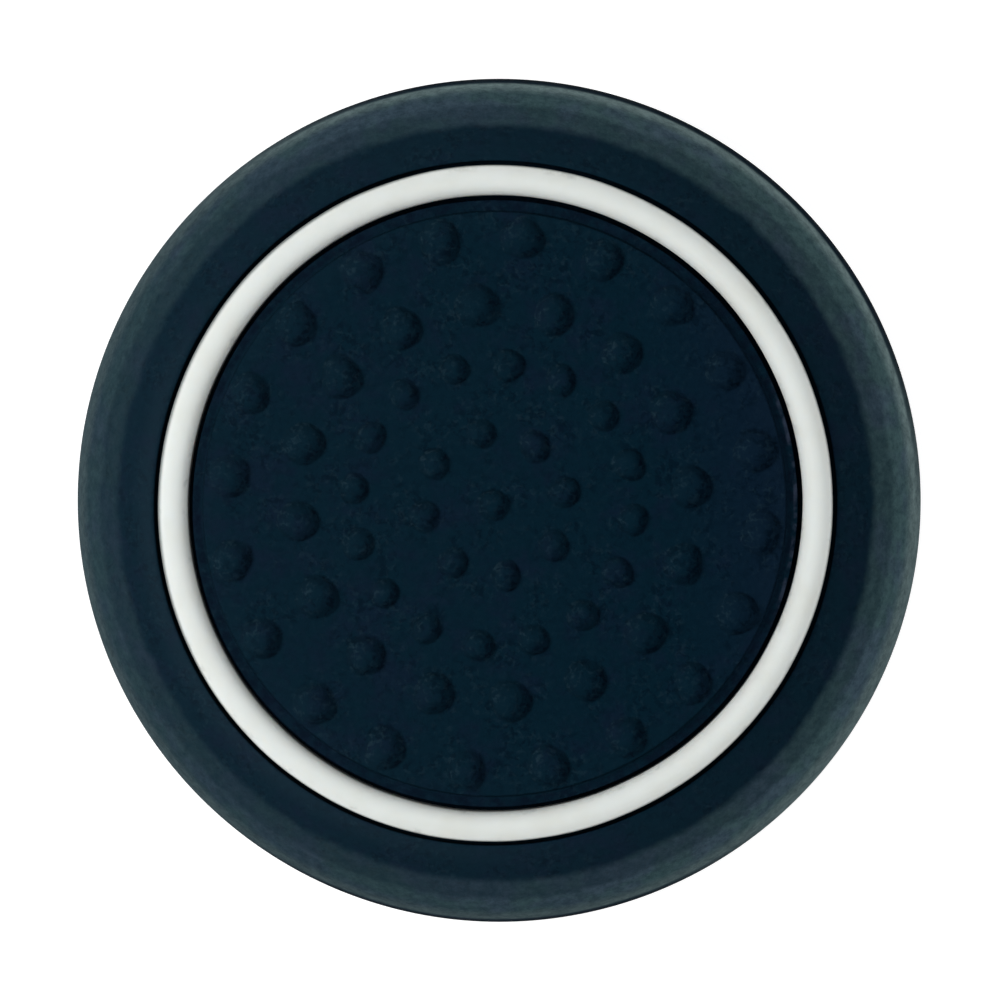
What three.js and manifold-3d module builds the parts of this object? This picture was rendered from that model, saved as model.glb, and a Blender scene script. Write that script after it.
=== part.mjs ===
// Slip-on silicone grip for the thumbstick of a game controller.
// A dark moulded cap has a slightly crowned thumb pad covered in round pips, and a white ring lies
// in a groove around its rim. The stick's head snaps through the mouth into the socket underneath.
// Lengths are in millimetres and Z is up. The origin is the centre of the face the cap stands on,
// and the pips' angles are counted anticlockwise from +X, seen from above.

import * as THREE from "three";
import { mergeVertices } from "three/addons/utils/BufferGeometryUtils.js";
import Module from "manifold-3d";

const wasm = await Module();
wasm.setup();

// Socket for the stick's head
const SOCKET_RADIUS = 8.75;
const SOCKET_DEPTH = 4.6; // from the top of the retaining lip to the seat
const SOCKET_CORNER = 0.7;
const SEAT_RADIUS = 5.2; // flat pad that fills the stick's dished top
const SEAT_DROP = 0.35; // how far the seat hangs below the edge of the socket's roof
const SEAT_CORNER = 0.8;

// Retaining lip around the mouth, which the stick's neck passes through
const MOUTH_RADIUS = 6.3;
const LIP_THICKNESS = 1.4;
const LIP_CORNER = 0.5; // rounding of the lip's upper and lower edge
const LIP_ROOT = 0.45; // fillet between the lip and the socket's wall

// Outside of the cap
const WALL = 1.75; // at the widest point
const SHOULDER_RADIUS = 3.7; // the big round-over from the side up to the rim
const BASE_INSET = 0.5; // how far the side has drawn in where it would meet the floor
const BASE_CORNER = 1.5;

// Thumb pad
const ROOF = 1.8; // thickness over the socket at the edge of the pad
const PAD_CROWN = 0.2; // how much higher the middle of the pad is than its edge
const PAD_STEP = 0.15; // how far the edge of the pad stands over the rim
const PAD_STEP_RUN = 0.04; // how far that small step leans outwards
const PAD_EDGE = 0.05;

// White ring and the groove that holds it
const RING_INSET = 2.6; // from the widest point of the cap to the middle of the ring
const RING_WIDTH = 0.72;
const RING_PROUD = 0.3; // height of the ring's rounded top over the rim's own surface
const RING_DEPTH = 0.7; // how deep its root is buried, at its outer side
const RING_GAP_INSIDE = 0.125; // open to the groove's inner wall
const RING_GAP_OUTSIDE = 0.12;
const RING_SINK = 0.08; // how far below the rim's surface the rounded top begins
const GROOVE_EDGE = 0.08; // bevel on the groove's outer edge
const LEDGE_WIDTH = 0.25; // dark ledge left between the groove and the step up to the pad
const LEDGE_EDGE = 0.04;

// Pips: domes of two sizes, on circles that are set out as shares of the pad's radius
const SMALL_PIP = { radius: 0.4, height: 0.22, sides: 8 };
const LARGE_PIP = { radius: 0.53, height: 0.28, sides: 10 };
const PIP_FULLNESS = 2.6; // 2 makes a plain dome, more flattens its middle and steepens its edge
const PIP_CIRCLES = [
  { share: 0, count: 1, firstDegrees: 0, pip: SMALL_PIP },
  { share: 0.2467, count: 8, firstDegrees: 10, pip: SMALL_PIP },
  { share: 0.4837, count: 16, firstDegrees: 16.4, pip: SMALL_PIP },
  { share: 0.6798, count: 16, firstDegrees: 4.9, pip: LARGE_PIP },
  { share: 0.9177, count: 20, firstDegrees: 11.9, pip: LARGE_PIP },
];

// Fineness of the facets
const TURN_SIDES = 64;
const SHOULDER_STEPS = 8;
const SIDE_STEPS = 2;
const BASE_STEPS = 3;
const CORNER_STEPS = 2;
const EDGE_STEPS = 1;
const PAD_STEPS = 3;
const RING_TOP_STEPS = 8;
const DOME_SHARES = [1, 0.82, 0.5, 0]; // where a pip's section bends, as shares of its radius

// Radii and heights that follow from the sizes above
const outerRadius = SOCKET_RADIUS + WALL;
const ringRadius = outerRadius - RING_INSET;
const ringInner = ringRadius - RING_WIDTH / 2;
const ringOuter = ringRadius + RING_WIDTH / 2;
const grooveInner = ringInner - RING_GAP_INSIDE;
const grooveOuter = ringOuter + RING_GAP_OUTSIDE;
const ledgeRadius = grooveInner - LEDGE_WIDTH;
const padRadius = ledgeRadius - PAD_STEP_RUN;
const padSphere = (padRadius ** 2 + PAD_CROWN ** 2) / (2 * PAD_CROWN); // from the pad's chord and crown

const seatHeight = LIP_THICKNESS + SOCKET_DEPTH;
const roofHeight = seatHeight + SEAT_DROP;
const padEdge = roofHeight + ROOF;
const padMiddle = padEdge + PAD_CROWN;
const rimCrest = padEdge - PAD_STEP;
const shoulderHeight = rimCrest - SHOULDER_RADIUS; // where the cap is widest
const shoulderCentre = outerRadius - SHOULDER_RADIUS;
const grooveFloor = rimHeight(grooveOuter) - RING_DEPTH;

// Height of the rim's own surface at a distance from the axis.
function rimHeight(radius) {
  const out = Math.max(0, radius - shoulderCentre);
  return shoulderHeight + Math.sqrt(SHOULDER_RADIUS ** 2 - out ** 2);
}

// Height of the thumb pad, which is part of a sphere, at a distance from the axis.
function padHeight(radius) {
  return padMiddle - padSphere + Math.sqrt(padSphere ** 2 - radius ** 2);
}

// A point of a section, as distance from the axis and height.
function at(radius, height) {
  return new THREE.Vector2(radius, height);
}

// Points of an arc from one angle to another, both ends included.
function arc(centre, radius, from, to, steps) {
  const clockwise = to < from;
  const curve = new THREE.EllipseCurve(centre.x, centre.y, radius, radius, from, to, clockwise);
  return curve.getPoints(steps);
}

// Points that round off the corner between two straight runs of a section.
function roundCorner(before, corner, after, radius, steps) {
  const back = before.clone().sub(corner).normalize();
  const ahead = after.clone().sub(corner).normalize();
  const halfAngle = Math.acos(back.dot(ahead)) / 2;
  const bisector = back.clone().add(ahead).normalize();
  const centre = corner.clone().addScaledVector(bisector, radius / Math.sin(halfAngle));
  const reach = radius / Math.tan(halfAngle);
  const start = corner.clone().addScaledVector(back, reach).sub(centre);
  const end = corner.clone().addScaledVector(ahead, reach).sub(centre);
  const turn = Math.atan2(start.cross(end), start.dot(end));
  return arc(centre, radius, start.angle(), start.angle() + turn, steps);
}

// Outer side of the cap, from the base up to the widest point and over the shoulder.
function outsideSection() {
  const sideRadius = (shoulderHeight ** 2 + BASE_INSET ** 2) / (2 * BASE_INSET);
  const sideCentre = at(outerRadius - sideRadius, shoulderHeight);
  const lean = Math.asin((shoulderHeight - BASE_CORNER) / sideRadius);
  const side = arc(sideCentre, sideRadius, -lean, 0, SIDE_STEPS);
  const foot = at(outerRadius - BASE_INSET, 0);
  const base = roundCorner(at(MOUTH_RADIUS, 0), foot, side[0], BASE_CORNER, BASE_STEPS);
  const centre = at(shoulderCentre, shoulderHeight);
  const grooveEdge = grooveOuter + GROOVE_EDGE;
  const grooveAngle = at(grooveEdge, rimHeight(grooveEdge)).sub(centre).angle();
  const shoulder = arc(centre, SHOULDER_RADIUS, 0, grooveAngle, SHOULDER_STEPS);
  return [...base, ...side.slice(1), ...shoulder.slice(1)];
}

// Groove for the ring and the dark ledge between it and the pad.
function grooveSection() {
  const outerEdge = at(grooveOuter, rimHeight(grooveOuter) - GROOVE_EDGE);
  const floorOuter = at(grooveOuter, grooveFloor);
  const floorInner = at(grooveInner, grooveFloor);
  const ledgeOuter = at(grooveInner, rimHeight(grooveInner));
  const ledgeInner = at(ledgeRadius, rimHeight(ledgeRadius));
  const ledgeCorner = roundCorner(floorInner, ledgeOuter, ledgeInner, LEDGE_EDGE, EDGE_STEPS);
  return [outerEdge, floorOuter, floorInner, ...ledgeCorner, ledgeInner];
}

// Thumb pad, from the step around it in to the axis.
function padSection() {
  const stepFoot = at(ledgeRadius, rimHeight(ledgeRadius));
  const edge = at(padRadius, padEdge);
  const innerRadius = padRadius - 2 * PAD_EDGE;
  const inner = at(innerRadius, padHeight(innerRadius));
  const points = roundCorner(stepFoot, edge, inner, PAD_EDGE, CORNER_STEPS);
  for (let step = PAD_STEPS - 1; step >= 0; step--) {
    const radius = (innerRadius * step) / PAD_STEPS;
    points.push(at(radius, padHeight(radius)));
  }
  return points;
}

// Socket, from the middle of the seat out to the wall, down it and out through the mouth.
function socketSection() {
  const middle = at(0, seatHeight);
  const seatEdge = at(SEAT_RADIUS, seatHeight);
  const roofEdge = at(SOCKET_RADIUS, roofHeight);
  const lipRoot = at(SOCKET_RADIUS, LIP_THICKNESS);
  const lipTop = at(MOUTH_RADIUS, LIP_THICKNESS);
  const lipBottom = at(MOUTH_RADIUS, 0);
  const foot = at(outerRadius - BASE_INSET, 0);
  return [
    middle,
    ...roundCorner(middle, seatEdge, roofEdge, SEAT_CORNER, EDGE_STEPS),
    ...roundCorner(seatEdge, roofEdge, lipRoot, SOCKET_CORNER, CORNER_STEPS),
    ...roundCorner(roofEdge, lipRoot, lipTop, LIP_ROOT, CORNER_STEPS),
    ...roundCorner(lipRoot, lipTop, lipBottom, LIP_CORNER, CORNER_STEPS),
    ...roundCorner(lipTop, lipBottom, foot, LIP_CORNER, CORNER_STEPS),
  ];
}

// Section of the white ring: a straight root with a rounded top that leans with the shoulder.
function ringSection() {
  const innerTop = at(ringInner, rimHeight(ringInner) - RING_SINK);
  const outerTop = at(ringOuter, rimHeight(ringOuter) - RING_SINK);
  const chord = outerTop.clone().sub(innerTop);
  const middle = innerTop.clone().addScaledVector(chord, 1 / 2);
  const lean = chord.angle();
  const top = new THREE.EllipseCurve(
    middle.x,
    middle.y,
    chord.length() / 2,
    RING_PROUD + RING_SINK,
    0,
    Math.PI,
    false,
    lean,
  );
  const floorInner = at(ringInner, grooveFloor);
  const floorOuter = at(ringOuter, grooveFloor);
  return [floorInner, floorOuter, ...top.getPoints(RING_TOP_STEPS), floorInner];
}

// Turns a section round the Z axis.
function turned(points, sides) {
  return new THREE.LatheGeometry(points, sides).rotateX(Math.PI / 2);
}

// One pip, standing on Z with its foot at height 0 and its skirt buried below that.
function pipGeometry(pip) {
  const dome = DOME_SHARES.map((share) => {
    return at(pip.radius * share, pip.height * (1 - share ** PIP_FULLNESS));
  });
  const buried = -pip.height / 2;
  return turned([at(0, buried), at(pip.radius, buried), ...dome], pip.sides);
}

// A closed geometry as a manifold solid, without the faces that vanish where vertices merge.
function solidOf(geometry) {
  const bare = new THREE.BufferGeometry();
  bare.setAttribute("position", geometry.getAttribute("position"));
  bare.setIndex(geometry.getIndex());
  const merged = mergeVertices(bare, 1e-4);
  const faces = [];
  const index = merged.getIndex().array;
  for (let i = 0; i < index.length; i += 3) {
    const [a, b, c] = index.slice(i, i + 3);
    if (a !== b && b !== c && c !== a) faces.push(a, b, c);
  }
  const mesh = new wasm.Mesh({
    numProp: 3,
    vertProperties: merged.getAttribute("position").array,
    triVerts: new Uint32Array(faces),
  });
  return new wasm.Manifold(mesh);
}

// A manifold solid as a three.js geometry.
function geometryOf(solid) {
  const mesh = solid.getMesh();
  const geometry = new THREE.BufferGeometry();
  geometry.setAttribute("position", new THREE.BufferAttribute(mesh.vertProperties, 3));
  geometry.setIndex(new THREE.BufferAttribute(mesh.triVerts, 1));
  geometry.computeVertexNormals();
  return geometry;
}

// Where a pip stands: on the pad, upright to its curved surface.
function pipPlacement(radius, angle) {
  const foot = new THREE.Vector3(radius * Math.cos(angle), radius * Math.sin(angle), padHeight(radius));
  const sphereCentre = new THREE.Vector3(0, 0, padMiddle - padSphere);
  const upright = foot.clone().sub(sphereCentre).normalize();
  const spin = new THREE.Quaternion().setFromAxisAngle(new THREE.Vector3(0, 0, 1), angle);
  const tilt = new THREE.Quaternion().setFromUnitVectors(new THREE.Vector3(0, 0, 1), upright);
  return new THREE.Matrix4().compose(foot, tilt.multiply(spin), new THREE.Vector3(1, 1, 1));
}

// The dark cap: one turned solid with its pips standing on the pad.
function capBody() {
  const section = [...socketSection(), ...outsideSection(), ...grooveSection(), ...padSection()];
  let solid = solidOf(turned(section, TURN_SIDES));
  for (const circle of PIP_CIRCLES) {
    const pip = pipGeometry(circle.pip);
    for (let i = 0; i < circle.count; i++) {
      const angle = THREE.MathUtils.degToRad(circle.firstDegrees + (360 * i) / circle.count);
      const placed = pip.clone().applyMatrix4(pipPlacement(circle.share * padRadius, angle));
      solid = solid.add(solidOf(placed));
    }
  }
  return geometryOf(solid);
}

const darkSilicone = new THREE.MeshStandardMaterial({ color: 0x0c1f2b, roughness: 0.55, metalness: 0 });
const whiteSilicone = new THREE.MeshStandardMaterial({ color: 0xe7ebe8, roughness: 0.5, metalness: 0 });

const body = new THREE.Mesh(capBody(), darkSilicone);
body.name = "cap_body";

const ring = new THREE.Mesh(turned(ringSection(), TURN_SIDES), whiteSilicone);
ring.name = "inlay_ring";

const thumbGrip = new THREE.Group();
thumbGrip.add(body, ring);

export default thumbGrip;
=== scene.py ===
# Controller thumb grip, dressed for its portrait: the dark silicone cap with its crowned, pip-covered
# pad, and the white silicone ring inlaid in the rim. Both are built finely here, on the form of the
# frame's own solids. Sizes are in millimetres up to the point where a mesh is made, and directions are
# in degrees, counted anticlockwise from +X as seen from above.

import math

import bpy
from mathutils import Matrix, Vector, noise
from mathutils.geometry import delaunay_2d_cdt


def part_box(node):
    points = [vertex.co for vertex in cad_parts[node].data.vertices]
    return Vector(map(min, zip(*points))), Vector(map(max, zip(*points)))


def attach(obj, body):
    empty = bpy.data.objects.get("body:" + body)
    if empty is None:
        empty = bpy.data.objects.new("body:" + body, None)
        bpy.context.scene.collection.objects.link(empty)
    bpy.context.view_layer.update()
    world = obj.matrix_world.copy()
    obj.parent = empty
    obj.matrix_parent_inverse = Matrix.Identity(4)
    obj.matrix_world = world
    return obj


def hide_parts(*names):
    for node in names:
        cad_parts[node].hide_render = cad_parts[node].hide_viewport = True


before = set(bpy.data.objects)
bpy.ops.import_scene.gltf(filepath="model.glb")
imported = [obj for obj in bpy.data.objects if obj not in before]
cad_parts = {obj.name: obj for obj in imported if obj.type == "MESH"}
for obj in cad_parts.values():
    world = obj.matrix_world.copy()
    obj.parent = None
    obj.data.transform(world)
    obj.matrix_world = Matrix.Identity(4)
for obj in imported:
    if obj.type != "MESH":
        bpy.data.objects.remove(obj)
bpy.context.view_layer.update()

MM = 0.001
BODY = "root"

# Driving sizes that the frame gives
cap_low, cap_high = [[c / MM for c in corner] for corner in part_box("cap_body")]
ring_low = [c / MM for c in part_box("inlay_ring")[0]]
OUTER_RADIUS = cap_high[0]
BASE_HEIGHT = cap_low[2]
GROOVE_FLOOR = ring_low[2]

# Socket and lip
SOCKET_RADIUS = 8.75
SOCKET_DEPTH = 4.6
SOCKET_CORNER = 0.7
SEAT_RADIUS = 5.2
SEAT_DROP = 0.35
SEAT_CORNER = 0.8
MOUTH_RADIUS = 6.3
LIP_THICKNESS = 1.4
LIP_CORNER = 0.5
LIP_ROOT = 0.45

# Outside of the cap
SHOULDER_RADIUS = 3.7
BASE_INSET = 0.5
BASE_CORNER = 1.5

# Thumb pad
ROOF = 1.8
PAD_CROWN = 0.2
PAD_STEP = 0.15
PAD_STEP_RUN = 0.04
PAD_EDGE = 0.05

# White ring, its groove, and the dark ledge between groove and pad
RING_INSET = 2.6
RING_WIDTH = 0.72
RING_PROUD = 0.3
RING_GAP_INSIDE = 0.125
RING_GAP_OUTSIDE = 0.12
RING_SINK = 0.08
GROOVE_EDGE = 0.08
LEDGE_WIDTH = 0.25
LEDGE_EDGE = 0.04
STEP_FILLET = 0.03

# How ring and groove stray from a true circle: number of lobes, size and direction
RING_SWAY = ((2, 0.025, 58), (3, 0.016, -18))
SWAY_REACH = 1.2  # on both sides of the ring, and down from the groove's floor
SWAY_FALL = 2  # the sway is whole out to half its reach, and falls to nothing at its end

# How the ring's two edges waver on their own
RING_WAVER = 0.01
RING_WAVER_SCALE = 5
RING_WAVER_APART = 2  # keeps the noise of the inner edge away from that of the outer one

# Pips: circles as share of the pad's radius, number of pips, first angle, and pip size
SMALL_PIP = (0.4, 0.22)
LARGE_PIP = (0.53, 0.28)
PIP_FULLNESS = 2.6  # 2 makes a dome, more flattens the middle and steepens the edge
PIP_CIRCLES = (
    (0.0, 1, 0.0, SMALL_PIP),
    (0.2467, 8, 10.0, SMALL_PIP),
    (0.4837, 16, 16.4, SMALL_PIP),
    (0.6798, 16, 4.9, LARGE_PIP),
    (0.9177, 20, 11.9, LARGE_PIP),
)
PIP_FILLET = 0.05  # width over which a pip blends into the pad
PIP_WOBBLE = 0.2  # how far a pip's outline strays from a circle, as a share of its radius
PIP_WOBBLE_SCALE = 2.0  # how quickly it strays round the pip

# Fineness of the turned sections
TURN_SIDES = 288
ARC_STEP = 0.11  # longest step along an arc
ARC_TURN = 0.3  # largest turn between two points of an arc, in radians
STEP_SPACING = 0.05
LEDGE_SPACING = 0.08
GROOVE_SPACING = 0.2
SOCKET_SPACING = 0.5
SEAT_SPACING = 0.7
BEVEL_SHARES = (0, 0.25, 0.5, 0.75)
RING_TOP_STEPS = 22

# Fineness of the pad
PAD_SPACING = 0.17  # between the pad's points where there is no pip
ROW_SHARE = 0.866  # distance between two rows of those points, as a share of their spacing
PIP_SIDES = 30
PIP_DOME_SHARES = (0.24, 0.44, 0.6, 0.72, 0.81, 0.88, 0.94)
PIP_FOOT_OFFSETS = (-0.018, -0.008, 0.002, 0.013, 0.027, 0.05, 0.085)
PIP_REACH = 1.5  # how far from its middle a pip can raise the pad, as a share of its radius
PIP_SEARCH = 1.6  # how far from the middle of a square millimetre its pips are looked for
PIP_ROUNDS = 3  # rounds in which the point of a leaning pip over a place is found
POINT_MERGE = 1e-7  # points of the pad closer than this become one
SAME_RADIUS = 1e-9
RIM_TOLERANCE = 1e-5

# Sizes that follow
ring_radius = OUTER_RADIUS - RING_INSET
ring_inner = ring_radius - RING_WIDTH / 2
ring_outer = ring_radius + RING_WIDTH / 2
groove_inner = ring_inner - RING_GAP_INSIDE
groove_outer = ring_outer + RING_GAP_OUTSIDE
ledge_radius = groove_inner - LEDGE_WIDTH
pad_radius = ledge_radius - PAD_STEP_RUN
pad_sphere = (pad_radius ** 2 + PAD_CROWN ** 2) / (2 * PAD_CROWN)
seat_height = LIP_THICKNESS + SOCKET_DEPTH
roof_height = seat_height + SEAT_DROP
pad_edge = roof_height + ROOF
pad_middle = pad_edge + PAD_CROWN
rim_crest = pad_edge - PAD_STEP
shoulder_height = rim_crest - SHOULDER_RADIUS
shoulder_centre = OUTER_RADIUS - SHOULDER_RADIUS


def rim_height(radius):
    """Height of the rim's own surface at a distance from the axis."""
    out = max(0.0, radius - shoulder_centre)
    return shoulder_height + math.sqrt(SHOULDER_RADIUS ** 2 - out ** 2)


def crown_height(radius):
    """Height of the bare pad, part of a sphere, at a distance from the axis."""
    return pad_middle - pad_sphere + math.sqrt(pad_sphere ** 2 - radius ** 2)


# Sections, as lists of points (distance from the axis, height)

def arc(centre, radius, start, end):
    """Points of an arc from one angle to another, both ends included."""
    turn = abs(end - start)
    steps = max(2, math.ceil(turn * radius / ARC_STEP), math.ceil(turn / ARC_TURN))
    angles = [start + (end - start) * i / steps for i in range(steps + 1)]
    return [Vector((centre.x + radius * math.cos(a), centre.y + radius * math.sin(a))) for a in angles]


def round_corner(before, corner, after, radius):
    """Points that round off the corner between two straight runs."""
    back = (before - corner).normalized()
    ahead = (after - corner).normalized()
    half = math.acos(max(-1.0, min(1.0, back.dot(ahead)))) / 2
    centre = corner + (back + ahead).normalized() * radius / math.sin(half)
    reach = radius / math.tan(half)
    start = corner + back * reach - centre
    end = corner + ahead * reach - centre
    turn = math.atan2(start.x * end.y - start.y * end.x, start.dot(end))
    first = math.atan2(start.y, start.x)
    return arc(centre, radius, first, first + turn)


def run(start, end, step):
    """Points between two ends, neither included, no further apart than a step."""
    count = math.ceil((end - start).length / step)
    return [start.lerp(end, i / count) for i in range(1, count)]


def step_section():
    """From just inside the pad's edge, down the small step and out along the dark ledge."""
    inner_radius = pad_radius - 2 * PAD_EDGE
    inner = Vector((inner_radius, crown_height(inner_radius)))
    edge = Vector((pad_radius, pad_edge))
    foot = Vector((ledge_radius, rim_height(ledge_radius)))
    ledge_outer = Vector((groove_inner, rim_height(groove_inner)))
    floor_inner = Vector((groove_inner, GROOVE_FLOOR))
    top = round_corner(inner, edge, foot, PAD_EDGE)
    bottom = round_corner(edge, foot, ledge_outer, STEP_FILLET)
    end = round_corner(foot, ledge_outer, floor_inner, LEDGE_EDGE)[0]
    down = run(top[-1], bottom[0], STEP_SPACING)
    out = run(bottom[-1], end, LEDGE_SPACING)
    return top + down + bottom + out + [end]


def groove_section():
    """From the ledge's outer edge down into the groove and up to its outer edge."""
    ledge_inner = Vector((ledge_radius, rim_height(ledge_radius)))
    ledge_outer = Vector((groove_inner, rim_height(groove_inner)))
    floor_inner = Vector((groove_inner, GROOVE_FLOOR))
    floor_outer = Vector((groove_outer, GROOVE_FLOOR))
    top = round_corner(ledge_inner, ledge_outer, floor_inner, LEDGE_EDGE)
    edge_radius = groove_outer + GROOVE_EDGE
    edge_top = Vector((edge_radius, rim_height(edge_radius)))
    edge_side = Vector((groove_outer, rim_height(groove_outer) - GROOVE_EDGE))
    corner = Vector((groove_outer, rim_height(groove_outer)))
    edge = [edge_side.lerp(corner, t).lerp(corner.lerp(edge_top, t), t) for t in BEVEL_SHARES]
    down = run(top[-1], floor_inner, GROOVE_SPACING)
    across = run(floor_inner, floor_outer, GROOVE_SPACING)
    up = run(floor_outer, edge[0], GROOVE_SPACING)
    return top + down + [floor_inner] + across + [floor_outer] + up + edge


def outside_section():
    """From the groove's outer edge over the shoulder, down the side and round the base."""
    centre = Vector((shoulder_centre, shoulder_height))
    edge_radius = groove_outer + GROOVE_EDGE
    start = math.acos((edge_radius - shoulder_centre) / SHOULDER_RADIUS)
    shoulder = arc(centre, SHOULDER_RADIUS, start, 0)
    side_radius = (shoulder_height ** 2 + BASE_INSET ** 2) / (2 * BASE_INSET)
    lean = math.asin((shoulder_height - BASE_CORNER) / side_radius)
    side_centre = Vector((OUTER_RADIUS - side_radius, shoulder_height))
    side = arc(side_centre, side_radius, 0, -lean)
    foot = Vector((OUTER_RADIUS - BASE_INSET, BASE_HEIGHT))
    base = round_corner(side[-1], foot, Vector((MOUTH_RADIUS, BASE_HEIGHT)), BASE_CORNER)
    return shoulder + side[1:-1] + base


def socket_section():
    """From the base through the mouth, over the lip, up the socket and in along its seat."""
    foot = Vector((OUTER_RADIUS - BASE_INSET, BASE_HEIGHT))
    lip_bottom = Vector((MOUTH_RADIUS, BASE_HEIGHT))
    lip_top = Vector((MOUTH_RADIUS, LIP_THICKNESS))
    lip_root = Vector((SOCKET_RADIUS, LIP_THICKNESS))
    roof_edge = Vector((SOCKET_RADIUS, roof_height))
    seat_edge = Vector((SEAT_RADIUS, seat_height))
    middle = Vector((0.0, seat_height))
    bottom = round_corner(foot, lip_bottom, lip_top, LIP_CORNER)
    top = round_corner(lip_bottom, lip_top, lip_root, LIP_CORNER)
    root = round_corner(lip_top, lip_root, roof_edge, LIP_ROOT)
    roof = round_corner(lip_root, roof_edge, seat_edge, SOCKET_CORNER)
    seat = round_corner(roof_edge, seat_edge, middle, SEAT_CORNER)
    points = bottom + top + run(top[-1], root[0], SOCKET_SPACING) + root
    points += run(root[-1], roof[0], SOCKET_SPACING) + roof
    points += run(roof[-1], seat[0], SOCKET_SPACING) + seat
    return points + run(seat[-1], middle, SEAT_SPACING)


def ring_section():
    """Closed section of the white ring: a straight root with a rounded top that leans outwards."""
    inner_top = Vector((ring_inner, rim_height(ring_inner) - RING_SINK))
    outer_top = Vector((ring_outer, rim_height(ring_outer) - RING_SINK))
    middle = (inner_top + outer_top) / 2
    along = (outer_top - inner_top) / 2
    up = Vector((-along.y, along.x)).normalized() * (RING_PROUD + RING_SINK)
    angles = [math.pi * i / RING_TOP_STEPS for i in range(RING_TOP_STEPS + 1)]
    top = [middle + along * math.cos(a) + up * math.sin(a) for a in angles]
    floor_inner = Vector((ring_inner, GROOVE_FLOOR))
    floor_outer = Vector((ring_outer, GROOVE_FLOOR))
    down = run(top[-1], floor_inner, GROOVE_SPACING)
    up_again = run(floor_outer, top[0], GROOVE_SPACING)
    return top + down + [floor_inner, floor_outer] + up_again


# Meshes

def turn_point(point, side):
    """A point of a section turned to one of the sides round the axis."""
    angle = 2 * math.pi * side / TURN_SIDES
    return Vector((point.x * math.cos(angle), point.x * math.sin(angle), point.y))


def turned_faces(rows, first, closed):
    """Quads between the rows of a turned section, whose vertices start at a number."""
    pairs = [(i, i + 1) for i in range(rows - 1)]
    if closed:
        pairs.append((rows - 1, 0))
    faces = []
    for low, high in pairs:
        for side in range(TURN_SIDES):
            after = (side + 1) % TURN_SIDES
            low_row = first + low * TURN_SIDES
            high_row = first + high * TURN_SIDES
            faces.append((low_row + side, low_row + after, high_row + after, high_row + side))
    return faces


def pips():
    """Every pip, as the centre of its foot, its upright direction, its radius and its height."""
    found = []
    sphere_centre = Vector((0, 0, pad_middle - pad_sphere))
    for share, count, first, (radius, height) in PIP_CIRCLES:
        reach = share * pad_radius
        for i in range(count):
            angle = math.radians(first + 360 * i / count)
            foot = Vector((reach * math.cos(angle), reach * math.sin(angle), crown_height(reach)))
            found.append((foot, (foot - sphere_centre).normalized(), radius, height))
    return found


def soft_max(a, b, width):
    """The larger of two heights, blended where they are close."""
    near = max(width - abs(a - b), 0.0)
    return max(a, b) + near * near / (4 * width)


def pip_points(foot, radius, limit):
    """Points of one pip and its foot seen from above, as far as a limit from the axis."""
    points = [foot]
    dome = [radius * share for share in PIP_DOME_SHARES]
    for reach in dome + [radius + offset for offset in PIP_FOOT_OFFSETS]:
        for i in range(PIP_SIDES):
            angle = 2 * math.pi * i / PIP_SIDES
            point = foot + Vector((math.cos(angle), math.sin(angle))) * reach
            if point.length < limit:
                points.append(point)
    return points


def open_points(all_pips, limit):
    """Points of the open pad between the pips, seen from above, in staggered rows."""
    points = []
    clear = PIP_FOOT_OFFSETS[-1] + PAD_SPACING / 2
    rows = math.ceil(pad_radius / (PAD_SPACING * ROW_SHARE))
    for row in range(-rows, rows + 1):
        for column in range(-rows, rows + 1):
            across = (column + (row % 2) / 2) * PAD_SPACING
            point = Vector((across, row * PAD_SPACING * ROW_SHARE))
            if point.length > limit:
                continue
            if all((point - foot.to_2d()).length > radius + clear for foot, _, radius, _ in all_pips):
                points.append(point)
    return points


def pad_points(all_pips, step):
    """Points of the pad seen from above: the step and ledge first, then the pips and the open pad."""
    points = []
    for row in reversed(step):
        points += [turn_point(Vector((row.x, 0)), side).to_2d() for side in range(TURN_SIDES)]
    limit = step[0].x - PAD_SPACING / 2
    for foot, _, radius, _ in all_pips:
        points += pip_points(foot.to_2d(), radius, limit)
    return points + open_points(all_pips, limit)


def bare_height(radius, step):
    """Height of the pad without its pips, or of the step and ledge, at a distance from the axis."""
    if radius <= step[0].x:
        return crown_height(radius)
    for low, high in zip(step, step[1:]):
        if radius <= high.x + SAME_RADIUS:
            return low.y + (high.y - low.y) * (radius - low.x) / (high.x - low.x)
    return step[-1].y


def pip_surface(off, foot, upright, radius, height):
    """Height of a pip's top over a point at an offset from its foot; beyond the foot it plunges."""
    rise = 0.0
    for _ in range(PIP_ROUNDS):
        place = off - upright.to_2d() * rise
        lift = -upright.to_2d().dot(place) / upright.z
        stray = PIP_WOBBLE * noise.noise((foot + place.to_3d()) * PIP_WOBBLE_SCALE)
        share = math.hypot(place.length, lift) / radius * (1 + stray)
        rise = height * (1 - share ** PIP_FULLNESS)
    return foot.z + lift + upright.z * rise


def pad_height(point, step, near_pips):
    """Height of the finished pad at a point seen from above, given the pips near it."""
    height = bare_height(point.length, step)
    for foot, upright, radius, pip_rise in near_pips:
        off = point - foot.to_2d()
        if off.length < radius * PIP_REACH:
            top = pip_surface(off, foot, upright, radius, pip_rise)
            height = soft_max(height, top, PIP_FILLET)
    return height


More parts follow.
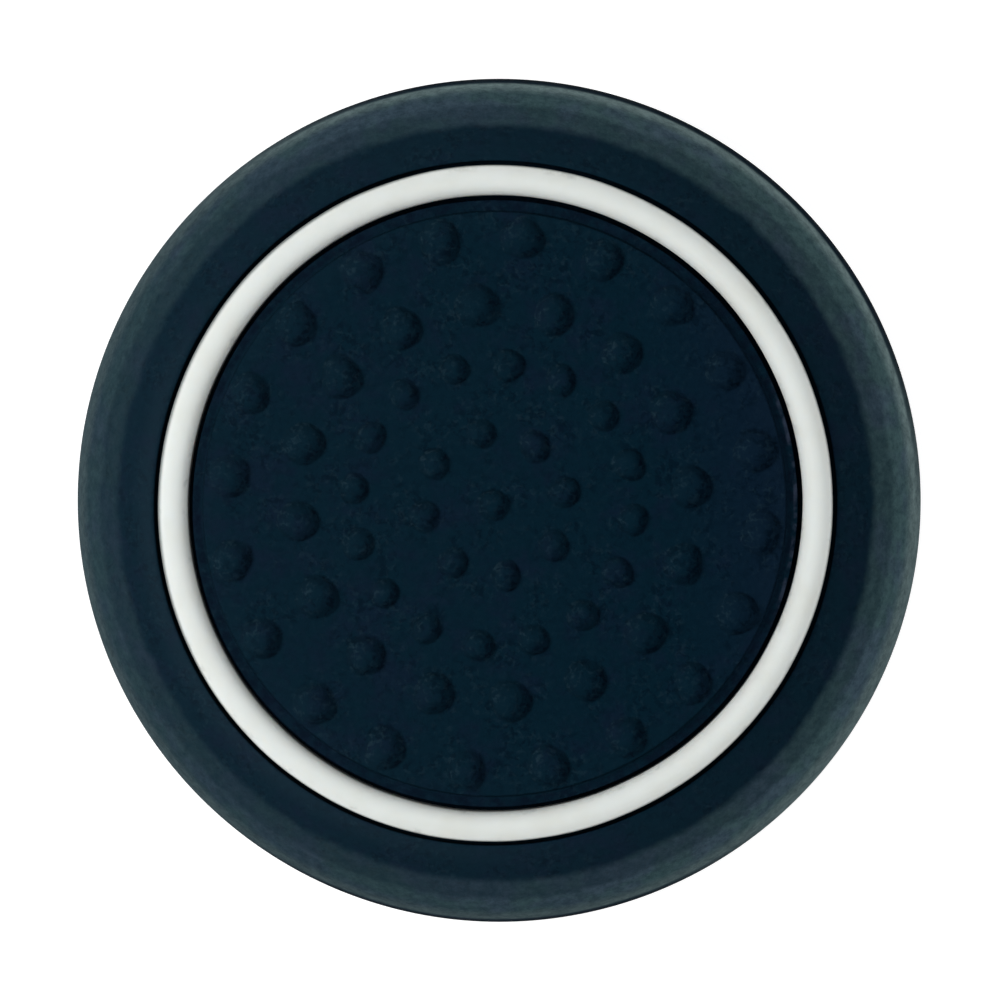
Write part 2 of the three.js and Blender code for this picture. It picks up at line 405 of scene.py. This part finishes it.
def pad_mesh(step):
    """Vertices and triangles of the pad with its pips, and of the step and ledge around it."""
    all_pips = pips()
    flat = pad_points(all_pips, step)
    flat, _, triangles, _, _, _ = delaunay_2d_cdt(flat, [], [], 0, POINT_MERGE)
    near = {}
    vertices = []
    for point in flat:
        cell = (round(point.x), round(point.y))
        if cell not in near:
            middle = Vector(cell)
            near[cell] = [pip for pip in all_pips if (pip[0].to_2d() - middle).length < PIP_SEARCH]
        vertices.append(Vector((point.x, point.y, pad_height(point, step, near[cell]))))
    return vertices, [tuple(triangle) for triangle in triangles]


def rim_vertices(vertices, radius):
    """Numbers of the vertices at a distance from the axis, by the side that each one lies on."""
    rim = {}
    for i, vertex in enumerate(vertices):
        if abs(vertex.to_2d().length - radius) < RIM_TOLERANCE:
            turn = math.atan2(vertex.y, vertex.x) / (2 * math.pi)
            rim[round(turn * TURN_SIDES) % TURN_SIDES] = i
    return rim


def swayed(point):
    """A point moved as far as the ring strays there, less so away from the ring."""
    angle = math.atan2(point.y, point.x)
    stray = sum(size * math.cos(lobes * (angle - math.radians(turn))) for lobes, size, turn in RING_SWAY)
    beside = 1 - abs(point.to_2d().length - ring_radius) / SWAY_REACH
    above = 1 - (GROOVE_FLOOR - point.z) / SWAY_REACH
    share = max(0.0, min(1.0, SWAY_FALL * beside)) * max(0.0, min(1.0, SWAY_FALL * above))
    return point + Vector((math.cos(angle), math.sin(angle), 0)) * stray * share


def new_piece(name, vertices, faces, material, node):
    """A smooth-shaded mesh, in metres, that rides with the body and stands for a node."""
    mesh = bpy.data.meshes.new(name)
    mesh.from_pydata([swayed(v) * MM for v in vertices], [], faces)
    mesh.validate()
    mesh.update()
    mesh.polygons.foreach_set("use_smooth", [True] * len(mesh.polygons))
    mesh.materials.append(material)
    piece = bpy.data.objects.new(name, mesh)
    bpy.context.scene.collection.objects.link(piece)
    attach(piece, BODY)
    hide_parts(node)


def build_cap(material):
    """The dark cap: a finely triangulated pad joined to the turned rest of the section."""
    step = step_section()
    vertices, faces = pad_mesh(step)
    rim = rim_vertices(vertices, step[-1].x)
    section = (groove_section() + outside_section() + socket_section())[1:]
    first = len(vertices)
    last = first + (len(section) - 1) * TURN_SIDES
    for row in section:
        vertices += [turn_point(row, side) for side in range(TURN_SIDES)]
    centre = len(vertices)
    vertices.append(Vector((0, 0, seat_height)))
    faces += [tuple(reversed(face)) for face in turned_faces(len(section), first, False)]
    for side in range(TURN_SIDES):
        after = (side + 1) % TURN_SIDES
        faces.append((rim[side], first + side, first + after, rim[after]))
    for side in range(TURN_SIDES):
        after = (side + 1) % TURN_SIDES
        faces.append((last + side, centre, last + after))
    new_piece("cap_skin", vertices, faces, material, "cap_body")


def build_ring(material):
    """The white ring, whose edges waver very slightly as an inlaid moulding's do."""
    section = ring_section()
    middle = Vector((ring_radius, 0))
    vertices = []
    for row in section:
        off_middle = row.x - middle.x
        apart = Vector((0, 0, math.copysign(RING_WAVER_APART, off_middle)))
        for side in range(TURN_SIDES):
            angle = 2 * math.pi * side / TURN_SIDES
            around = Vector((math.cos(angle), math.sin(angle), 0))
            wave = noise.noise(around * RING_WAVER_SCALE + apart)
            offset = off_middle / (RING_WIDTH / 2) * RING_WAVER * wave
            vertices.append(turn_point(row + Vector((offset, 0)), side))
    faces = turned_faces(len(section), 0, True)
    new_piece("ring_skin", vertices, faces, material, "inlay_ring")


# Materials

class Nodes:
    """A material's node tree, with short calls to add and join its nodes."""

    def __init__(self, name):
        self.material = bpy.data.materials.new(name)
        self.material.use_nodes = True
        self.tree = self.material.node_tree
        self.shader = self.tree.nodes["Principled BSDF"]
        place = self.tree.nodes.new("ShaderNodeTexCoord")
        scale = self.tree.nodes.new("ShaderNodeVectorMath")
        scale.operation = "SCALE"
        scale.inputs["Scale"].default_value = 1 / MM
        self.join(place.outputs["Object"], scale.inputs[0])
        self.place = scale.outputs[0]

    def join(self, output, socket):
        """Joins an output to a socket."""
        self.tree.links.new(output, socket)

    def feed(self, value, socket):
        """Gives a socket a number or joins an output to it."""
        if isinstance(value, (int, float)):
            socket.default_value = value
        else:
            self.join(value, socket)

    def noise(self, scale, detail, roughness, distortion=0.0):
        """Noise in the object's own millimetres, about 0.5 on average."""
        node = self.tree.nodes.new("ShaderNodeTexNoise")
        node.inputs["Scale"].default_value = scale
        node.inputs["Detail"].default_value = detail
        node.inputs["Roughness"].default_value = roughness
        node.inputs["Distortion"].default_value = distortion
        self.join(self.place, node.inputs["Vector"])
        return node.outputs["Fac"]

    def math(self, operation, a, b=0.0):
        """A math node's result."""
        node = self.tree.nodes.new("ShaderNodeMath")
        node.operation = operation
        self.feed(a, node.inputs[0])
        self.feed(b, node.inputs[1])
        return node.outputs[0]

    def times(self, a, b):
        """The product of two values."""
        return self.math("MULTIPLY", a, b)

    def plus(self, a, b):
        """The sum of two values."""
        return self.math("ADD", a, b)

    def minus(self, a, b):
        """The first value less the second."""
        return self.math("SUBTRACT", a, b)

    def larger(self, a, b):
        """The larger of two values."""
        return self.math("MAXIMUM", a, b)

    def fade(self, value, low, high, to_low=0.0, to_high=1.0):
        """A soft change from one level to another while a value goes from low to high."""
        node = self.tree.nodes.new("ShaderNodeMapRange")
        node.interpolation_type = "SMOOTHSTEP"
        self.join(value, node.inputs["Value"])
        for name, number in zip(("From Min", "From Max", "To Min", "To Max"), (low, high, to_low, to_high)):
            node.inputs[name].default_value = number
        return node.outputs[0]

    def blend(self, share, first, second):
        """The first colour with a share of the second laid over it."""
        node = self.tree.nodes.new("ShaderNodeMix")
        node.data_type = "RGBA"
        self.feed(share, node.inputs["Factor"])
        for name, colour in (("A", first), ("B", second)):
            socket = next(s for s in node.inputs if s.name == name and s.type == "RGBA")
            if isinstance(colour, tuple):
                socket.default_value = (*colour, 1)
            else:
                self.join(colour, socket)
        return next(s for s in node.outputs if s.type == "RGBA")

    def bump(self, height, depth, normal=None):
        """A surface normal roughened by a height, on top of another normal if one is given."""
        node = self.tree.nodes.new("ShaderNodeBump")
        node.inputs["Strength"].default_value = 1.0
        node.inputs["Distance"].default_value = depth * MM
        self.join(height, node.inputs["Height"])
        if normal is not None:
            self.join(normal, node.inputs["Normal"])
        return node.outputs["Normal"]

    def along(self, axis):
        """A place's coordinate."""
        split = self.tree.nodes.new("ShaderNodeSeparateXYZ")
        self.join(self.place, split.inputs[0])
        return split.outputs[axis]

    def facing(self, axis):
        """How far the surface faces along an axis."""
        geometry = self.tree.nodes.new("ShaderNodeNewGeometry")
        split = self.tree.nodes.new("ShaderNodeSeparateXYZ")
        self.join(geometry.outputs["Normal"], split.inputs[0])
        return split.outputs[axis]

    def radius(self):
        """A place's distance from the axis."""
        x, y = self.along("X"), self.along("Y")
        return self.math("SQRT", self.plus(self.times(x, x), self.times(y, y)))

    def towards(self, degrees):
        """How far a place lies from the axis in a direction."""
        turn = math.radians(degrees)
        across = self.times(self.along("X"), math.cos(turn))
        return self.plus(across, self.times(self.along("Y"), math.sin(turn)))


# Colours of the dark silicone
TEAL = (0.0017, 0.0122, 0.0222)
INDIGO = (0.0034, 0.0108, 0.0238)
# Dark pits, and also painted shade on the pips' lower right slopes
PITS_AND_SHADE = (0.0004, 0.0040, 0.0098)
# Pale lint, and also a painted highlight on the pips' upper left slopes
LINT_AND_HIGHLIGHT = (0.015, 0.035, 0.050)
# Painted shade in the recess around the pad
CREASE_SHADE = (0.0028, 0.0060, 0.0135)
# A painted glint on the ledge's right
GLINT = (0.040, 0.052, 0.085)
# A pale veil, partly painted light
VEIL = (0.080, 0.122, 0.155)
# Painted reflection of the pale floor on the shoulder, in three tints
REFLECTION_GREEN = (0.088, 0.163, 0.168)
REFLECTION_BLUE = (0.095, 0.150, 0.195)
REFLECTION_CREST = (0.160, 0.228, 0.230)
# Painted shade on the steep limb below the shoulder
LIMB_SHADE = (0.0006, 0.0022, 0.0038)

# Colours of the white silicone
WHITE = (0.80, 0.835, 0.81)
WHITE_WARM = (0.77, 0.795, 0.755)
# Grey laid in patches near both edges of the ring
EDGE_GREY = (0.30, 0.33, 0.32)
RING_SHADE = (0.08, 0.10, 0.10)

# Both silicones bend light alike
SILICONE_IOR = 1.41

# Noise of the dark silicone: scale per millimetre, detail, roughness and, for some, distortion
HUE_NOISE = (0.9, 4, 0.7)
PATCH_NOISE = (1.3, 3, 0.6)
PIT_AND_SHADE_NOISE = (5.6, 3, 0.6, 0.5)
LINT_AND_HIGHLIGHT_NOISE = (6.8, 3, 0.6, 0.5)
CREASE_SHADE_NOISE = (3.5, 3, 0.7)
GLINT_NOISE = (1.9, 3, 0.7)
WAVER_NOISE = (1.5, 5, 0.7)
MOTTLE_NOISE = (3.6, 5, 0.8)
REFLECTION_HUE_NOISE = (0.7, 3, 0.6)
DULL_NOISE = (1.7, 4, 0.6)
GRAIN_NOISE = (8.0, 3, 0.6)
PEEL_NOISE = (3.4, 3, 0.6)

# Noise of the white silicone
WARM_NOISE = (0.8, 3, 0.5)
EDGE_PATCH_NOISE = (1.9, 4, 0.65)
RING_DULL_NOISE = (3.0, 3, 0.5)
RING_GRAIN_NOISE = (9.0, 3, 0.5)

# Every fade below gives where it starts and ends, and its levels there unless they are 0 and 1.

# Where the shoulder's steepest part is bare of painted reflection
UPPER_RIGHT = 64
UPPER_RIGHT_FADE = (3.0, 8.6)
BOTTOM = -90
BOTTOM_FADE = (7.6, 10.2)

# Where the painted reflection ends downwards, and the painted shade of the dark limb below its sharp end
REFLECTION_SOFT_END = (shoulder_height - 2.2, shoulder_height + 0.3)
REFLECTION_SHARP_END = (shoulder_height + 0.88, shoulder_height + 1.12)
LIMB_SHADE_TOP = (shoulder_height + 0.66, shoulder_height + 0.94, 0.6, 0.0)
LIMB_SHADE_FOOT = (shoulder_height - 0.4, shoulder_height + 0.3)

# Painted reflection on the shoulder: steps by radius, and how it changes from side to side
REFLECTION_WAVER = 0.24
REFLECTION_INNER_STEP = (9.18, 9.42, 0.0, 0.20)
REFLECTION_OUTER_STEP = (9.69, 9.87, 0.0, 0.165)
REFLECTION_SIDE = 12
REFLECTION_SIDE_FADE = (-10.0, 10.0, 0.50, 1.34)
CREST_STEP = (10.08, 10.33)
CREST_SIDE = 62
CREST_SIDE_FADE = (1.5, 9.2, 0.05, 0.42)
CREST_COLOUR_FADE = (10.05, 10.30)
MOTTLE_FADE = (0.25, 0.75, 0.55, 1.40)
REFLECTION_HUE_FADE = (0.42, 0.62)

# A pale veil: painted light to the left and beside the ring at the lower left, and lighter at the pad's
# edge and outside the ring
PAINTED_LIGHT_LEFTWARDS = (-10.0, 10.0, 0.022, 0.003)
VEIL_AT_PAD_EDGE = (6.4, 7.0, 0.0, 0.006)
VEIL_OUTSIDE_FADE = (8.3, 8.5)
VEIL_OUTSIDE = 0.017
PAINTED_LIGHT_BESIDE_RING = (8.5, 9.0, 0.045, 0.0)
PAINTED_LIGHT_SIDE = 210
PAINTED_LIGHT_SIDE_FADE = (1.0, 8.0)

# Hue, and the indigo part at the pad's right
HUE_FADE = (0.44, 0.70)
INDIGO_SIDE = 8
INDIGO_SIDE_FADE = (3.6, 7.0)
INDIGO_PAD_FADE = (7.1, 7.3, 0.9, 0.0)

# Pits and lint, in patches and on the pips, with painted shade on the pips' lower right and a painted
# highlight on their upper left
PATCH_FADE = (0.42, 0.62)
ON_PIP_FADE = (0.0, 0.05)
SLOPE_X = 0.9
SLOPE_Y = 0.4
SHADED_SIDE_FADE = (0.02, 0.44)
LIT_SIDE_FADE = (-0.55, 0.10, 1.0, 0.15)
PIT_AND_SHADE_FADE = (0.46, 0.62, 0.0, 0.78)
PITS_IN_PATCHES = 0.5
PITS_EVERYWHERE = 0.22
PAINTED_SHADE_SHARE = 0.36
LINT_AND_HIGHLIGHT_FADE = (0.50, 0.70, 0.0, 0.54)
LINT_IN_PATCHES = 0.4
LINT_EVERYWHERE = 0.14
PAINTED_HIGHLIGHT_FILM = 0.07

# Painted shade in a dark band around the pad, and a thin painted glint at the ledge's right
CREASE_SHADE_START = (7.14, 7.24)
CREASE_SHADE_END = (7.50, 7.60, 1.0, 0.0)
CREASE_SHADE_RAGGED = (0.35, 0.65, 0.20, 0.75)
GLINT_START = (7.29, 7.35)
GLINT_END = (7.40, 7.44, 1.0, 0.0)
GLINT_STREAKS = (0.46, 0.66, 0.0, 0.55)
GLINT_SIDE = 2
GLINT_SIDE_FADE = (6.5, 7.15)

# Surface of the dark silicone
DULL_FADE = (0.3, 0.7, 0.68, 0.8)
GRAIN_DEPTH = 0.014
PEEL_DEPTH = 0.045
DARK_SPECULAR = 0.004
DARK_SPECULAR_TINT = (0.62, 1.0, 0.96, 1)

# White silicone
WARM_FADE = (0.4, 0.75)
EDGE_PATCH_SPAN = (RING_WIDTH * 0.30, RING_WIDTH * 0.5)
EDGE_PATCH_FADE = (0.52, 0.72)
EDGE_PATCH_SHARE = 0.45
SHADE_SIDE = 160
SHADE_SIDE_FADE = (3.0, 7.5, 0.0, 0.20)
SHADE_STEEP_FADE = (0.15, 0.55, 0.8, 0.0)
SHADE_OUTSIDE_FADE = (ring_radius + 0.08, ring_radius + 0.18)
RING_DULL_FADE = (0.3, 0.7, 0.42, 0.52)
RING_GRAIN_DEPTH = 0.003
RING_SUBSURFACE = 0.35
RING_SUBSURFACE_RADIUS = (1.0, 0.9, 0.8)
RING_SUBSURFACE_SCALE = 0.3


def dark_edge(n):
    """How bare of painted reflection the shoulder's steepest part is: wholly at the upper right and the
    bottom.
    """
    upper_right = n.fade(n.towards(UPPER_RIGHT), *UPPER_RIGHT_FADE)
    bottom = n.fade(n.towards(BOTTOM), *BOTTOM_FADE)
    return n.larger(upper_right, bottom)


def reflection_end(n):
    """How much painted reflection is left at a height: it ends sharply at the dark edge and softly
    elsewhere.
    """
    soft = n.fade(n.along("Z"), *REFLECTION_SOFT_END)
    sharp = n.fade(n.along("Z"), *REFLECTION_SHARP_END)
    lost = n.times(n.minus(soft, sharp), dark_edge(n))
    return n.minus(soft, lost)


def shoulder_reflection(n):
    """How strongly the painted reflection of the pale floor covers a place: two steps outwards, and a crest
    to the upper right.
    """
    waver = n.times(n.minus(n.noise(*WAVER_NOISE), 0.5), REFLECTION_WAVER)
    out = n.plus(n.radius(), waver)
    inner = n.fade(out, *REFLECTION_INNER_STEP)
    outer = n.fade(out, *REFLECTION_OUTER_STEP)
    everywhere = n.fade(n.towards(REFLECTION_SIDE), *REFLECTION_SIDE_FADE)
    crest = n.fade(out, *CREST_STEP)
    at_crest = n.fade(n.towards(CREST_SIDE), *CREST_SIDE_FADE)
    steps = n.times(n.plus(inner, outer), everywhere)
    cover = n.plus(steps, n.times(crest, at_crest))
    mottle = n.fade(n.noise(*MOTTLE_NOISE), *MOTTLE_FADE)
    return n.times(n.times(cover, reflection_end(n)), mottle)


def veil_and_painted_light(n):
    """How much a pale veil covers a place: more to the left and beside the ring at the lower left, both
    painted light, and more at the pad's edge and outside the ring.
    """
    # Painted light: the left side lighter, as the key light falls from the left
    leftwards = n.fade(n.along("X"), *PAINTED_LIGHT_LEFTWARDS)
    at_edge = n.fade(n.radius(), *VEIL_AT_PAD_EDGE)
    outside = n.fade(n.radius(), *VEIL_OUTSIDE_FADE)
    # Painted light beside the ring at the lower left, standing for light thrown back by the white ring
    beside_ring = n.fade(n.radius(), *PAINTED_LIGHT_BESIDE_RING)
    beside_ring = n.times(beside_ring, n.fade(n.towards(PAINTED_LIGHT_SIDE), *PAINTED_LIGHT_SIDE_FADE))
    outside = n.times(outside, n.plus(beside_ring, VEIL_OUTSIDE))
    return n.plus(n.plus(leftwards, at_edge), outside)


def pip_lift(n):
    """How far a place stands over the bare pad, which is nearly a paraboloid."""
    square = n.times(n.radius(), n.radius())
    drop = n.times(square, 1 / (2 * pad_sphere))
    return n.plus(n.minus(n.along("Z"), pad_middle), drop)


def base_hue(n):
    """Teal that drifts to indigo in patches, and at the pad's right."""
    at_right = n.fade(n.towards(INDIGO_SIDE), *INDIGO_SIDE_FADE)
    right_of_pad = n.times(at_right, n.fade(n.radius(), *INDIGO_PAD_FADE))
    drift = n.fade(n.noise(*HUE_NOISE), *HUE_FADE)
    return n.blend(n.larger(drift, right_of_pad), TEAL, INDIGO)


def with_pits_lint_and_pip_shading(n, colour):
    """Adds pits and lint, and painted light on the pips: pits are most on their lower right, where painted
    shade darkens the slope, and lint most on their upper left, where a painted highlight lightens it.
    """
    patches = n.fade(n.noise(*PATCH_NOISE), *PATCH_FADE)
    on_pip = n.fade(pip_lift(n), *ON_PIP_FADE)
    slope = n.minus(n.times(n.facing("X"), SLOPE_X), n.times(n.facing("Y"), SLOPE_Y))
    # Painted shade: pip slopes facing the lower right, away from the key light, are darkened
    shaded_side = n.times(on_pip, n.fade(slope, *SHADED_SIDE_FADE))
    # Painted highlight: pip slopes facing the upper left, towards the key light, are lightened
    lit_side = n.times(on_pip, n.fade(slope, *LIT_SIDE_FADE))
    # Pits cover patches and, as ragged painted shade, the pips' lower right slopes
    pits_and_shade_cover = n.plus(n.larger(n.times(patches, PITS_IN_PATCHES), shaded_side), PITS_EVERYWHERE)
    pits = n.fade(n.noise(*PIT_AND_SHADE_NOISE), *PIT_AND_SHADE_FADE)
    colour = n.blend(n.times(pits, pits_and_shade_cover), colour, PITS_AND_SHADE)
    # Painted shade over the whole of the pips' lower right slopes
    colour = n.blend(n.times(shaded_side, PAINTED_SHADE_SHARE), colour, PITS_AND_SHADE)
    # Lint covers patches and, as painted highlight specks, the pips' upper left slopes
    lint_and_highlight_cover = n.plus(n.larger(n.times(patches, LINT_IN_PATCHES), lit_side), LINT_EVERYWHERE)
    lint = n.fade(n.noise(*LINT_AND_HIGHLIGHT_NOISE), *LINT_AND_HIGHLIGHT_FADE)
    colour = n.blend(n.times(lint, lint_and_highlight_cover), colour, LINT_AND_HIGHLIGHT)
    # A faint painted highlight over the whole of the pips' upper left slopes
    return n.blend(n.times(lit_side, PAINTED_HIGHLIGHT_FILM), colour, LINT_AND_HIGHLIGHT)


def with_crease_shade_and_glint(n, colour):
    """Adds ragged painted shade around the pad's step and ledge, and a thin streaky painted glint at the
    ledge's right.
    """
    crease_shade = n.times(n.fade(n.radius(), *CREASE_SHADE_START), n.fade(n.radius(), *CREASE_SHADE_END))
    ragged = n.fade(n.noise(*CREASE_SHADE_NOISE), *CREASE_SHADE_RAGGED)
    # Painted shade over the pad's step and ledge
    colour = n.blend(n.times(crease_shade, ragged), colour, CREASE_SHADE)
    outermost = n.times(n.fade(n.radius(), *GLINT_START), n.fade(n.radius(), *GLINT_END))
    streaks = n.fade(n.noise(*GLINT_NOISE), *GLINT_STREAKS)
    streaks = n.times(streaks, n.fade(n.towards(GLINT_SIDE), *GLINT_SIDE_FADE))
    # Painted glint along the ledge's outer edge at the right
    return n.blend(n.times(outermost, streaks), colour, GLINT)


def with_reflection_and_limb_shade(n, colour):
    """Adds the shoulder's painted reflection and, where it ends sharply, painted shade on the dark limb
    below it.
    """
    # Painted reflection laid over the shoulder
    reflection_colour = n.blend(n.fade(n.noise(*REFLECTION_HUE_NOISE), *REFLECTION_HUE_FADE), REFLECTION_GREEN, REFLECTION_BLUE)
    reflection_colour = n.blend(n.fade(n.radius(), *CREST_COLOUR_FADE), reflection_colour, REFLECTION_CREST)
    colour = n.blend(shoulder_reflection(n), colour, reflection_colour)
    # Painted shade on the limb, where the painted reflection ends sharply
    band = n.times(n.fade(n.along("Z"), *LIMB_SHADE_TOP), n.fade(n.along("Z"), *LIMB_SHADE_FOOT))
    return n.blend(n.times(band, dark_edge(n)), colour, LIMB_SHADE)


def dark_silicone():
    """Dull, near-black silicone with pits and lint, painted shade and highlights on the pips, a pale veil
    that is partly painted light, painted shade around the pad, a painted glint, and a painted reflection
    that makes the shoulder pale.
    """
    n = Nodes("dark_silicone")
    colour = with_pits_lint_and_pip_shading(n, base_hue(n))
    # A pale veil, partly painted light
    colour = n.blend(veil_and_painted_light(n), colour, VEIL)
    colour = with_crease_shade_and_glint(n, colour)
    colour = with_reflection_and_limb_shade(n, colour)
    n.join(colour, n.shader.inputs["Base Color"])
    n.join(n.fade(n.noise(*DULL_NOISE), *DULL_FADE), n.shader.inputs["Roughness"])
    grain = n.bump(n.noise(*GRAIN_NOISE), GRAIN_DEPTH)
    peel = n.bump(n.noise(*PEEL_NOISE), PEEL_DEPTH, grain)
    n.join(peel, n.shader.inputs["Normal"])
    n.shader.inputs["IOR"].default_value = SILICONE_IOR
    n.shader.inputs["Specular IOR Level"].default_value = DARK_SPECULAR
    n.shader.inputs["Specular Tint"].default_value = DARK_SPECULAR_TINT
    return n.material


def white_silicone():
    """Off-white silicone, warmer in patches, greyer in patches near its edges, with painted shade on its
    outer side.
    """
    n = Nodes("white_silicone")
    warm = n.fade(n.noise(*WARM_NOISE), *WARM_FADE)
    colour = n.blend(warm, WHITE, WHITE_WARM)
    off_middle = n.math("ABSOLUTE", n.minus(n.radius(), ring_radius))
    edge = n.fade(off_middle, *EDGE_PATCH_SPAN)
    patch = n.fade(n.noise(*EDGE_PATCH_NOISE), *EDGE_PATCH_FADE)
    colour = n.blend(n.times(n.times(edge, patch), EDGE_PATCH_SHARE), colour, EDGE_GREY)
    level = n.minus(n.facing("Z"), n.fade(n.towards(SHADE_SIDE), *SHADE_SIDE_FADE))
    steep = n.fade(level, *SHADE_STEEP_FADE)
    outside = n.fade(n.radius(), *SHADE_OUTSIDE_FADE)
    colour = n.blend(n.times(steep, outside), colour, RING_SHADE)
    n.join(colour, n.shader.inputs["Base Color"])
    n.join(n.fade(n.noise(*RING_DULL_NOISE), *RING_DULL_FADE), n.shader.inputs["Roughness"])
    n.join(n.bump(n.noise(*RING_GRAIN_NOISE), RING_GRAIN_DEPTH), n.shader.inputs["Normal"])
    n.shader.inputs["IOR"].default_value = SILICONE_IOR
    n.shader.inputs["Subsurface Weight"].default_value = RING_SUBSURFACE
    n.shader.inputs["Subsurface Radius"].default_value = RING_SUBSURFACE_RADIUS
    n.shader.inputs["Subsurface Scale"].default_value = RING_SUBSURFACE_SCALE * MM
    return n.material


# Stage, lights and camera

FLOOR_HALF = 1500.0
FLOOR_DROP = 0.02  # keeps the floor from lying in the plane of the cap's base
FLOOR_COLOUR = (0.5, 0.5, 0.5, 1)
FLOOR_ROUGHNESS = 0.9
FLOOR_SPECULAR = 0.1
FLOOR_GLOW = 0.82

# Lights: name, direction, distance, diameter and power in watts
LIGHTS = (
    ("key", (-0.82, 0.07, 0.80), 180, 84, 0.172),
    ("fill", (0.75, -0.30, 0.8), 360, 260, 0.19),
    ("overhead", (0, 0, 1), 420, 420, 0.79),
)
SKY_COLOUR = (0.93, 0.98, 1.0, 1)
SKY_STRENGTH = 0.12

# The camera hangs over the cap, a little to its upper right
CAMERA_DISTANCE = 200.0
CAMERA_TILT_X = math.radians(1.7)
CAMERA_TILT_Y = math.radians(1.4)
AIM = (0.031, 0.017)  # centres the outline as the photograph does
SENSOR = 36.0
CLIP_NEAR = 10.0
CLIP_FAR = 10000.0
SILHOUETTE_PIXELS = 421.5  # radius of the cap's outline in the photograph
FRAME_PIXELS = 1000


def floor():
    """A plain white floor, bright enough to read as paper under studio light."""
    side = FLOOR_HALF * MM
    low = -FLOOR_DROP * MM
    mesh = bpy.data.meshes.new("floor")
    corners = [(-side, -side, low), (side, -side, low), (side, side, low), (-side, side, low)]
    mesh.from_pydata(corners, [], [(0, 1, 2, 3)])
    material = bpy.data.materials.new("paper")
    material.use_nodes = True
    shader = material.node_tree.nodes["Principled BSDF"]
    shader.inputs["Base Color"].default_value = FLOOR_COLOUR
    shader.inputs["Roughness"].default_value = FLOOR_ROUGHNESS
    shader.inputs["Specular IOR Level"].default_value = FLOOR_SPECULAR
    shader.inputs["Emission Color"].default_value = (1, 1, 1, 1)
    shader.inputs["Emission Strength"].default_value = FLOOR_GLOW
    mesh.materials.append(material)
    obj = bpy.data.objects.new("floor", mesh)
    bpy.context.scene.collection.objects.link(obj)


def area_light(name, direction, distance, size, power):
    """A round soft light that faces the middle of the cap from a direction."""
    data = bpy.data.lights.new(name, "AREA")
    data.shape = "DISK"
    data.size = size * MM
    data.energy = power
    light = bpy.data.objects.new(name, data)
    back = Vector(direction).normalized()
    light.location = (back * distance + Vector((0, 0, rim_crest))) * MM
    light.rotation_euler = back.to_track_quat("Z", "Y").to_euler()
    light.visible_glossy = False
    bpy.context.scene.collection.objects.link(light)


def studio():
    """A key light from the left, a fill from the lower right, a soft one overhead and a dim sky."""
    for light in LIGHTS:
        area_light(*light)
    world = bpy.data.worlds.new("studio")
    bpy.context.scene.world = world
    world.use_nodes = True
    world.node_tree.nodes["Background"].inputs["Color"].default_value = SKY_COLOUR
    world.node_tree.nodes["Background"].inputs["Strength"].default_value = SKY_STRENGTH


def camera():
    """The photograph's view: from above, with +X to the right and +Y up."""
    data = bpy.data.cameras.new("camera")
    obj = bpy.data.objects.new("camera", data)
    bpy.context.scene.collection.objects.link(obj)
    back = Vector((math.sin(CAMERA_TILT_X), math.sin(CAMERA_TILT_Y), 0))
    back.z = math.sqrt(1 - back.length_squared)
    right = Vector((0, 1, 0)).cross(back).normalized()
    up = back.cross(right)
    turn = Matrix((right, up, back)).transposed().to_4x4()
    aim = Vector((*AIM, shoulder_height))
    obj.matrix_world = Matrix.Translation((aim + back * CAMERA_DISTANCE) * MM) @ turn
    frame_width = OUTER_RADIUS * FRAME_PIXELS / SILHOUETTE_PIXELS
    data.sensor_width = SENSOR
    data.lens = SENSOR * CAMERA_DISTANCE / frame_width
    data.clip_start = CLIP_NEAR * MM
    data.clip_end = CLIP_FAR * MM
    bpy.context.scene.camera = obj


bpy.context.scene.view_settings.view_transform = "Standard"
camera()
build_cap(dark_silicone())
build_ring(white_silicone())
floor()
studio()
